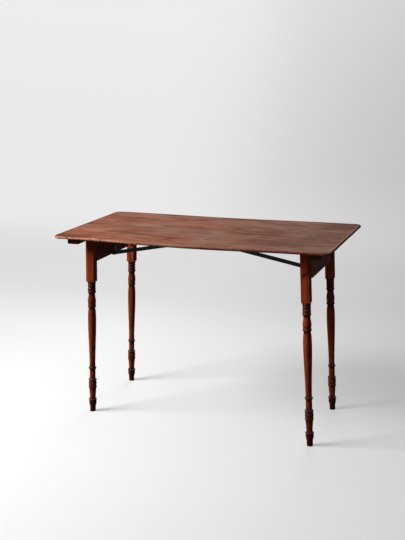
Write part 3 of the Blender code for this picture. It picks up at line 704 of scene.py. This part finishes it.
def red_stained(wood, colours):
    """Red stain on turned stock: grain up the leg, deeper by the rings and on the feet, painted
    shade in the grooves, a dark slanting patch, rubbed crests and arrises, and gloss on the rings'
    upper sides."""
    wood.dull(0.0)
    where = wood.kept("stock", "Vector")
    hollow, deep, knot, arris, shoulder = (
        wood.kept(name) for name in ("hollow", "deep", "knot", "arris", "shoulder"))
    grain = wood.swayed(where, (18, 18, 4), (0.012, -0.009, 0))
    figure = wood.noise(grain, (95, 95, 2.6), 4)
    streaks = wood.noise(grain, (330, 330, 7), 4, 0.6)
    pores = wood.noise(grain, (1300, 1300, 42), 2, 0.6)
    patches = wood.noise(where, (34, 34, 22), 4)
    grained = wood.band(figure * 0.55 + streaks * 0.45, 0.32, 0.56)
    body = wood.mix(grained, colours.red_deep, colours.red_stain)
    body = wood.patch(body, colours.red_rubbed, patches, 0.54, 0.76, 0.3)
    body = wood.patch(body, colours.red_deep, patches, 0.46, 0.3, 0.5)
    body = wood.patch(body, colours.red_dark_and_groove_shade, pores, 0.55, 0.7, 0.35)
    body = wood.mix(deep * 0.8, body, colours.red_deep)
    body = wood.patch(body, colours.red_dark_and_groove_shade, deep, 0.6, 1.0, 0.5)
    bared = (1.0 - 0.7 * deep) * (0.1 + 0.3 * patches)
    body = wood.patch(body, colours.red_rubbed, hollow * -1, 0.1, 0.7, bared)
    body = wood.patch(body, colours.red_rubbed, patches, 0.44, 0.64, arris * 0.6)
    # Painted shade in the grooves between the rings.
    body = wood.patch(body, colours.red_dark_and_groove_shade, hollow, 0.04, 0.6, 0.92)
    body = wood.mix(knot, body, colours.red_dark_and_groove_shade)
    rough = 0.26 + 0.16 * patches + 0.16 * wood.band(hollow, 0.04, 0.6)
    height = streaks * 0.6 + pores * -0.5 + figure * 0.4
    return wood.shade(base_color=body, roughness=rough, coat_roughness=0.18,
                      coat_weight=0.42 * wood.band(shoulder, 0.2, 0.5),
                      normal=wood.bump(height, 0.00025))


def stained_with_painted_shade(wood, colours):
    """Dark stain on the aprons and battens, their stain with painted shade in it: grain along their
    length and rubbed arrises.
    """
    wood.dull(0.008)
    where = wood.where()
    grain = wood.swayed(where, (9, 5, 9), (0.02, 0, 0.02))
    figure = wood.noise(grain, (42, 2.2, 42), 4)
    streaks = wood.noise(grain, (190, 6, 190), 4, 0.6)
    pores = wood.noise(grain, (900, 32, 900), 2, 0.6)
    patches = wood.noise(where, (16, 12, 16), 4)
    grained = wood.band(figure * 0.5 + streaks * 0.5, 0.36, 0.64)
    body = wood.mix(grained, colours.dark_grain, colours.stain_with_painted_shade)
    body = wood.patch(body, colours.dark_grain, pores, 0.54, 0.7, 0.5)
    body = wood.patch(body, colours.red_stain, patches, 0.54, 0.76, 0.3)
    body = wood.patch(body, colours.red_rubbed, patches, 0.4, 0.62, wood.kept("rim") * 0.7)
    height = streaks * 0.6 + pores * -0.5
    return wood.shade(base_color=body, roughness=0.42 + 0.2 * patches,
                      normal=wood.bump(height, 0.00025))


def black_iron(metal, colours):
    """Blackened iron: soft hammer marks, thin rust in patches and a dull sheen."""
    metal.dull(0.01)
    where, worn = metal.where(), (0.016, 0.015, 0.0145)
    marks = metal.noise(where, (170, 170, 170), 2)
    specks = metal.noise(where, (900, 900, 900))
    blooms = metal.noise(where, (38, 60, 38), 5, 0.65)
    rusty = metal.band(blooms * 0.8 + specks * 0.2, 0.55, 0.72)
    body = metal.patch(colours.iron, worn, specks, 0.35, 0.75, 0.4)
    body = metal.mix(rusty * 0.4, body, colours.rust)
    rough = 0.5 + 0.15 * marks + 0.22 * rusty
    return metal.shade(base_color=body, metallic=0.06 - 0.05 * rusty, roughness=rough,
                       normal=metal.bump(marks * 0.7 + specks * 0.3, 0.0003))


def rubbed_steel(metal, colours):
    """Old steel of screws, pins and rivets, darkened: dull specks, a little rust and dark slots."""
    where, dulled = metal.where(), (0.014, 0.0125, 0.0115)
    specks = metal.noise(where, (1100, 1100, 1100))
    patches = metal.noise(where, (240, 240, 240))
    rusty = metal.band(patches * 0.7 + specks * 0.3, 0.5, 0.68)
    body = metal.patch(colours.steel, dulled, specks, 0.3, 0.7, 0.6)
    body = metal.mix(rusty * 0.5, body, colours.rust)
    body = metal.mix(metal.kept("slot") * 0.9, body, colours.iron)
    rough = 0.34 + 0.3 * rusty + 0.1 * specks
    return metal.shade(base_color=body, metallic=0.75 - 0.5 * rusty, roughness=rough,
                       normal=metal.bump(specks, 0.0001))


def pale_floor(paper, colours):
    """Pale seamless paper: the camera, mirrors and glass see mostly its own colour, with painted
    light falling off to the right and back, a painted shade band towards the horizon and painted
    light up the wall, and a soft shadow; what it throws back on the table is less."""
    black, white, thrown_back = (0.0, 0.0, 0.0), (1.0, 1.0, 1.0), (0.12, 0.12, 0.12)
    where, seen = paper.where(), paper.seen()
    along, back, high = (paper.axis(where, name) for name in "XYZ")
    # Painted light that falls off towards the right and the back.
    light_falloff = paper.band(along + 0.4 * back - 0.3 * high, -0.6, 2.2)
    tint = paper.mix(light_falloff, colours.floor, colours.floor_dim)
    # Painted shade in a band across the floor towards the horizon.
    far = paper.band(back, 0.6, 1.5) * paper.band(back, 3.4, 2.0)
    tint = paper.mix(0.12 * far, tint, black)
    # Painted light: the wall pales higher up.
    tint = paper.patch(tint, white, high, 0.3, 2.2, 0.25)
    fibre = paper.noise(where, (260, 260, 260), 2)
    shown = paper.mix(seen, thrown_back, tint)
    material = paper.shade(base_color=shown, roughness=0.9 + 0.05 * fibre)
    glow = paper.node("Emission", sockets={"Color": tint, "Strength": 1.0})
    near = 0.53 - 0.41 * paper.band(paper.away(where, (0.0, 0.0, 0.0)), 1.0, 3.4)
    lit = near * (1 - 0.62 * paper.band(along, -0.75, -1.4))
    plain = Value(paper, paper.shader.outputs[0])
    both = paper.node("MixShader", sockets={0: seen * (1 - lit), 1: plain, 2: glow})
    paper.feed(paper.tree.nodes["Material Output"].inputs["Surface"], both)
    return material


# -------------------- pieces

def chosen(context):
    """The scene's sizes and colours."""
    return context.scene.sewing_sizes, context.scene.sewing_colours


def frame_ends():
    """Each end of each leg frame: its side, its name, the side's way and the step to the end."""
    for side, way in SIDES:
        yield side, f"{side}_front", way, -way
        yield side, f"{side}_back", way, way


class SEWING_OT_top(bpy.types.Operator):
    """Make the worn top"""

    bl_idname = "sewing_table.top"
    bl_label = "Top"

    def execute(self, context):
        sizes, colours = chosen(context)
        middle, half = (TOP_LOW + TOP_HIGH) / 2, (TOP_HIGH - TOP_LOW) / 2
        outline, normals = rounded_rectangle(half.x, half.y, sizes.top_corner, 24, 120)
        edge = sizes.top_edge
        points, rim = slab(outline, normals, TOP_LOW.z, TOP_HIGH.z, edge, edge, 26)
        wear, seed = 0.0011, 1.7
        worn = rim * (0.5 + 0.5 * ripple(46 * points[..., 0] + 9 * points[..., 1], seed)) * wear
        points[..., :2] *= 1 - worn[..., None] / np.array((half.x, half.y))
        points[..., :2] += np.array(middle[:2])
        level = points[..., 2] - TOP_LOW.z
        points = sagged(points, sizes.front_sag, sizes.back_sag)
        mesh = skin("worn_top", points, rim=rim, level=level)
        piece(mesh, finish(faded_top, colours), "top", "top_wood", "table_top")
        return {"FINISHED"}


class SEWING_OT_battens(bpy.types.Operator):
    """Make the two battens under the ends of the top"""

    bl_idname = "sewing_table.battens"
    bl_label = "Battens"

    def execute(self, context):
        sizes, colours = chosen(context)
        middle, half = (BATTEN_LOW + BATTEN_HIGH) / 2, (BATTEN_HIGH - BATTEN_LOW) / 2
        outline, normals = rounded_rectangle(half.y, half.x, sizes.batten_edge, 8, 40)
        points, rim = slab(outline, normals, BATTEN_LOW.z, BATTEN_HIGH.z, sizes.batten_edge,
                           FINE_ARRIS, 5)
        placed = points[..., (1, 0, 2)] + np.array((middle.x, middle.y, 0))
        for side, way in SIDES:
            mesh = skin(f"{side}_cross_batten", turned_round(placed, way), rim=rim)
            piece(mesh, finish(stained_with_painted_shade, colours), "top", "batten_wood", f"{side}_batten")
        return {"FINISHED"}


class SEWING_OT_legs(bpy.types.Operator):
    """Make the four turned legs"""

    bl_idname = "sewing_table.legs"
    bl_label = "Legs"

    def execute(self, context):
        sizes, colours = chosen(context)
        points, kept = leg_points(sizes)
        for number, (side, end, way, step) in enumerate(frame_ends()):
            place = np.array((-sizes.leg_setback, step * sizes.leg_spacing / 2, 0))
            made = hung(points + place, sizes.splay, way)
            made[..., 2] = np.maximum(made[..., 2], 0)
            knot = knot_share(points, sizes.leg_square / 2) * (end == "right_front")
            stock = points + NEXT_STOCK * number
            mesh = skin(f"turned_{end}_leg", made, stock=stock, knot=knot, **kept)
            piece(mesh, finish(red_stained, colours), f"{side}_frame", "leg_wood", f"{end}_leg")
        return {"FINISHED"}


class SEWING_OT_aprons(bpy.types.Operator):
    """Finish the apron between the legs of each frame"""

    bl_idname = "sewing_table.aprons"
    bl_label = "Aprons"

    def execute(self, context):
        sizes, colours = chosen(context)
        for side, _ in SIDES:
            dress(f"{side}_apron", finish(stained_with_painted_shade, colours), sizes.apron_edge)
        return {"FINISHED"}


class SEWING_OT_braces(bpy.types.Operator):
    """Make the iron bars, their rivets, and finish their brackets and catches"""

    bl_idname = "sewing_table.braces"
    bl_label = "Braces"

    def execute(self, context):
        sizes, colours = chosen(context)
        iron, steel = finish(black_iron, colours), finish(rubbed_steel, colours)
        rise, half = sizes.bar_rise, sizes.bar_thickness / 2
        reach = (BAR_END - PIVOT.x - sizes.bar_width / 2 * math.sin(rise)) / math.cos(rise)
        outline, normals = bar_outline(reach, sizes.bar_width, eye=0.0045, taper=0.03, corner=0.002)
        points, rim = slab(outline, normals, -half, half, FINE_ARRIS, FINE_ARRIS, 4, 5)
        run, across, thick = np.moveaxis(points, -1, 0)
        bar = np.stack((PIVOT.x + run * math.cos(rise) - across * math.sin(rise), PIVOT.y + thick,
                        PIVOT.z + run * math.sin(rise) + across * math.cos(rise)), axis=-1)
        head, ear = domed_head(sizes.rivet_head, RIVET_RISE), Vector((0, half + EAR_THICKNESS, 0))
        heads = np.stack([facing(head, way * ear) + np.array(PIVOT + way * ear) for way in (-1, 1)])
        for side, way in SIDES:
            mesh = skin(f"{side}_iron_bar", turned_round(bar, way), rim=rim)
            piece(mesh, iron, f"{side}_brace", "black_iron", f"{side}_brace_bar")
            mesh = skin(f"{side}_domed_rivet", turned_round(heads, way))
            piece(mesh, steel, f"{side}_frame", "screw_steel", f"{side}_brace_rivet")
            for part in ("bracket", "catch"):
                dress(f"{side}_brace_{part}", iron, FINE_ARRIS / 2)
        return {"FINISHED"}


class SEWING_OT_hinges(bpy.types.Operator):
    """Finish the four butt hinges and drive their screws"""

    bl_idname = "sewing_table.hinges"
    bl_label = "Hinges"

    def execute(self, context):
        sizes, colours = chosen(context)
        iron, steel = finish(black_iron, colours), finish(rubbed_steel, colours)
        head, slot = slotted_head(sizes.small_head, dome=0.0004, depth=0.0002,
                                  slot=(0.0008, 0.0007))
        for side, end, way, step in frame_ends():
            for part, material in (("top_leaf", iron), ("apron_leaf", iron), ("pin", steel)):
                dress(f"{end}_hinge_{part}", material)
            for number, shift in enumerate(LEAF_SCREW_STEPS):
                y, twist = step * LEAF_FROM_MIDDLE + shift, 0.5 + 1.3 * number + step
                up = facing(head, (0, 0, -1), twist) + (LEAF_SCREW_OUT, y, LEAF_FACE)
                up = turned_round(up + np.array(HINGE), way)
                level = facing(head, (1, 0, 0), twist) + (-LEAF_FACE, y, -LEAF_SCREW_OUT)
                level = hung(level, sizes.splay, way)
                for leaf, body, made in (("top", "top", up), ("apron", f"{side}_frame", level)):
                    mesh = skin(f"{end}_hinge_{leaf}_screw_{number + 1}", made, slot=slot)
                    piece(mesh, steel, body, "screw_steel")
        return {"FINISHED"}


class SEWING_OT_screws(bpy.types.Operator):
    """Make the slotted screws of the battens, brackets and catches"""

    bl_idname = "sewing_table.screws"
    bl_label = "Screws"

    def execute(self, context):
        sizes, colours = chosen(context)
        steel = finish(rubbed_steel, colours)
        large = slotted_head(sizes.large_head, dome=0.0003, depth=0.0012, slot=(0.001, 0.0009))
        small = slotted_head(sizes.small_head, dome=0.0003, depth=0.001, slot=(0.0008, 0.0008))
        down = Vector((0, 0, -1))
        for side, way in SIDES:
            inward = Vector((way * math.cos(sizes.splay), 0, -math.sin(sizes.splay)))
            kinds = (("batten", 4, large, "top", down),
                     ("bracket", 2, small, f"{side}_frame", inward),
                     ("catch", 2, small, "top", down))
            for kind, count, (head, slot), body, outward in kinds:
                for number in range(1, count + 1):
                    node = f"{side}_{kind}_screw_{number}"
                    corners = np.array([v.co for v in frame["nodes"][node].data.vertices])
                    depth = corners @ np.array(outward)
                    seat = corners[depth > depth.max() - SEAT_DEPTH].mean(axis=0)
                    made = facing(head, outward, 0.7 + 1.9 * number) + seat
                    mesh = skin(f"slotted_{node}", made, slot=slot)
                    piece(mesh, steel, body, "screw_steel", node)
        return {"FINISHED"}


class SEWING_OT_stage(bpy.types.Operator):
    """Make the pale floor, the soft light and the camera"""

    bl_idname = "sewing_table.stage"
    bl_label = "Stage"

    def execute(self, context):
        scene, colours = context.scene, context.scene.sewing_colours
        turn = np.linspace(0, np.pi / 2, 24)
        reach, bend_at, bend, tall = 8.0, 3.0, 1.6, 7.0
        run = np.concatenate(([-reach], bend_at + bend * np.sin(turn), [bend_at + bend]))[:, None]
        rise = np.concatenate(([0.0], bend * (1 - np.cos(turn)), [tall]))[:, None]
        sweep = np.stack(np.broadcast_arrays(np.linspace(-reach, reach, 5), run, rise), axis=-1)
        paper = bpy.data.objects.new("pale_sweep", skin("pale_sweep", sweep, closed=False))
        paper.data.materials.append(finish(pale_floor, colours))
        key = self.lamp("key_light", (-2.25, -1.34, 2.24), size=1.3, power=152)
        rear = self.lamp("rear_light", (-0.4, 3.1, 1.9), size=1.6, power=40)
        camera = self.camera()
        for thing in (paper, key, rear, camera):
            scene.collection.objects.link(thing)
        scene.camera = camera
        # A dim even surround that the camera, mirrors and glass see as pale.
        surround = Finish("pale_surround", bpy.data.worlds, "Background")
        scene.world = surround.shade(color=(1.0, 1.0, 1.0), strength=0.1 + 0.75 * surround.seen())
        scene.view_settings.view_transform = "Standard"
        return {"FINISHED"}

    def lamp(self, name, place, size, power):
        """A square soft light that looks at the table's middle."""
        middle = Vector((0, 0, 0.4))
        data = bpy.data.lights.new(name, "AREA")
        data.size, data.energy = size, power
        made = bpy.data.objects.new(name, data)
        made.location, made.visible_camera = place, False
        made.rotation_euler = (middle - Vector(place)).to_track_quat("-Z", "Y").to_euler()
        return made

    def camera(self):
        """The camera of the photograph, from the fit of the table's corners to it."""
        place, focal_pixels = (1.02884, -2.77957, 1.21559), 912.331
        yaw, pitch, roll = -0.3638, 0.23726, -0.01433
        level = Vector((math.cos(yaw), -math.sin(yaw), 0))
        ahead = Vector((math.sin(yaw), math.cos(yaw), 0))
        forward = math.cos(pitch) * ahead - math.sin(pitch) * Vector((0, 0, 1))
        up = level.cross(forward)
        right = math.cos(roll) * level + math.sin(roll) * up
        up = math.cos(roll) * up - math.sin(roll) * level
        data = bpy.data.cameras.new("camera")
        data.sensor_width, data.sensor_fit = 36.0, "AUTO"
        data.lens = focal_pixels / PHOTO_HEIGHT * data.sensor_width
        made = bpy.data.objects.new("camera", data)
        axes = Matrix((right, up, -forward)).transposed().to_4x4()
        made.matrix_world = Matrix.Translation(place) @ axes
        return made


PIECES = (SEWING_OT_top, SEWING_OT_battens, SEWING_OT_legs, SEWING_OT_aprons, SEWING_OT_braces,
          SEWING_OT_hinges, SEWING_OT_screws, SEWING_OT_stage)


class SEWING_PT_panel(bpy.types.Panel):
    """The table's pieces, sizes and colours"""

    bl_idname = "SEWING_PT_panel"
    bl_label = "Sewing Table"
    bl_space_type = "VIEW_3D"
    bl_region_type = "UI"
    bl_category = "Sewing Table"

    def draw(self, context):
        for made in PIECES:
            self.layout.operator(made.bl_idname)
        for group in chosen(context):
            box = self.layout.box()
            for name in group.__annotations__:
                box.prop(group, name)


CLASSES = (SewingTableSizes, SewingTableColours, *PIECES, SEWING_PT_panel)


def register():
    """Registers the classes and the scene's sizes and colours."""
    for made in CLASSES:
        bpy.utils.register_class(made)
    bpy.types.Scene.sewing_sizes = PointerProperty(type=SewingTableSizes)
    bpy.types.Scene.sewing_colours = PointerProperty(type=SewingTableColours)


def unregister():
    """Takes back what register does."""
    del bpy.types.Scene.sewing_colours
    del bpy.types.Scene.sewing_sizes
    for made in reversed(CLASSES):
        bpy.utils.unregister_class(made)


def main():
    """Makes every piece and the stage."""
    register()
    bpy.ops.sewing_table.top()
    bpy.ops.sewing_table.battens()
    bpy.ops.sewing_table.legs()
    bpy.ops.sewing_table.aprons()
    bpy.ops.sewing_table.braces()
    bpy.ops.sewing_table.hinges()
    bpy.ops.sewing_table.screws()
    bpy.ops.sewing_table.stage()


if __name__ == "__main__":
    main()
